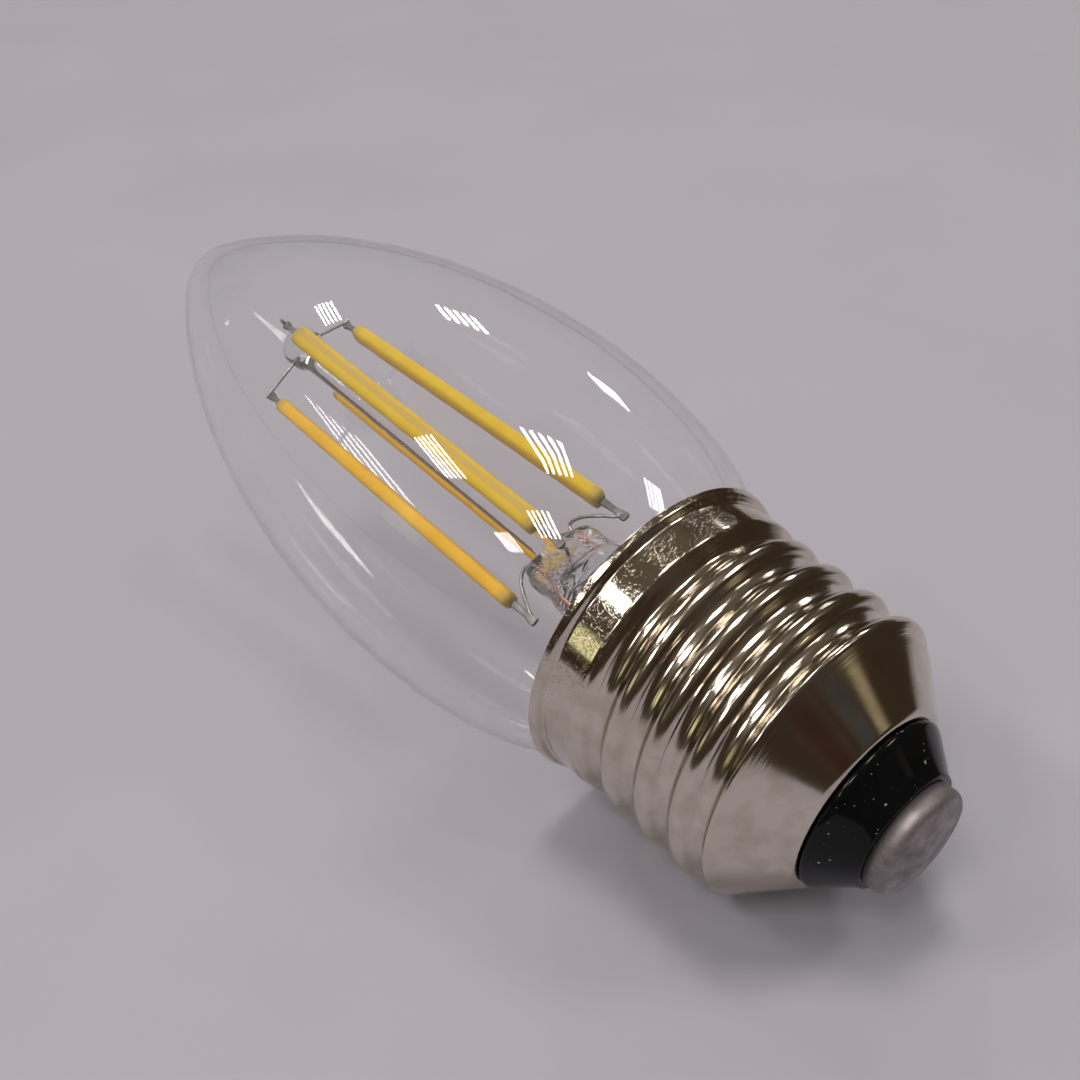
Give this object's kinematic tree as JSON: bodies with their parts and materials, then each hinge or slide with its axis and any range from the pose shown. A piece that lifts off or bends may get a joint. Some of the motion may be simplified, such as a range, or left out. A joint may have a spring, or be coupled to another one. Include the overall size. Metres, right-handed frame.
{
  "type": "candle bulb",
  "caption": "Clear candle-shaped filament lamp bulb with yellow filaments on a glass stem and a large round-thread screw cap with black insulator and centre contact.",
  "frame": {"origin": "Lowest point of the centre contact, on the bulb's axis.", "axes": "+Z runs along the axis from the contact to the glass tip. -Y faces the front filament."},
  "size_m": [0.036, 0.036, 0.0993],
  "materials": {
    "clear_glass": "clear blown glass, smooth",
    "stem_glass": "clear drawn glass, fire polished",
    "phosphor": "yellow phosphor in silicone",
    "tab_metal": "stamped metal end tab",
    "wire_metal": "drawn nickel wire",
    "lead_metal": "lead-in wire, copper coated inside the glass",
    "cap_nickel": "nickel-plated rolled sheet, warm tone",
    "black_glass": "black pressed glass, glossy",
    "contact_metal": "plain stamped metal, satin",
    "cement": "cap cement, matt",
    "board_laminate": "green laminate",
    "moulded_black": "black moulding compound",
    "capacitor_sleeve": "shrink sleeve",
    "resistor_body": "lacquered resistor"
  },
  "bodies": {
    "root": {"glass_envelope": "clear_glass", "glass_stem": "stem_glass", "exhaust_tube": "stem_glass", "support_rod": "stem_glass", "filament_right": "phosphor", "filament_front": "phosphor", "filament_back": "phosphor", "filament_left": "phosphor", "lower_tab_right": "tab_metal", "lower_tab_front": "tab_metal", "lower_tab_back": "tab_metal", "lower_tab_left": "tab_metal", "upper_tab_right": "tab_metal", "upper_tab_front": "tab_metal", "upper_tab_back": "tab_metal", "upper_tab_left": "tab_metal", "top_link_right_front": "wire_metal", "top_link_back_left": "wire_metal", "bottom_bridge": "wire_metal", "lead_wire_right": "lead_metal", "lead_wire_left": "lead_metal", "screw_shell": "cap_nickel", "insulator": "black_glass", "centre_contact": "contact_metal", "neck_cement": "cement", "driver_board": "board_laminate", "bridge_rectifier": "moulded_black", "driver_chip": "moulded_black", "smoothing_capacitor": "capacitor_sleeve", "fuse_resistor": "resistor_body", "live_wire": "lead_metal", "neutral_wire": "lead_metal"}
  },
  "joints": []
}
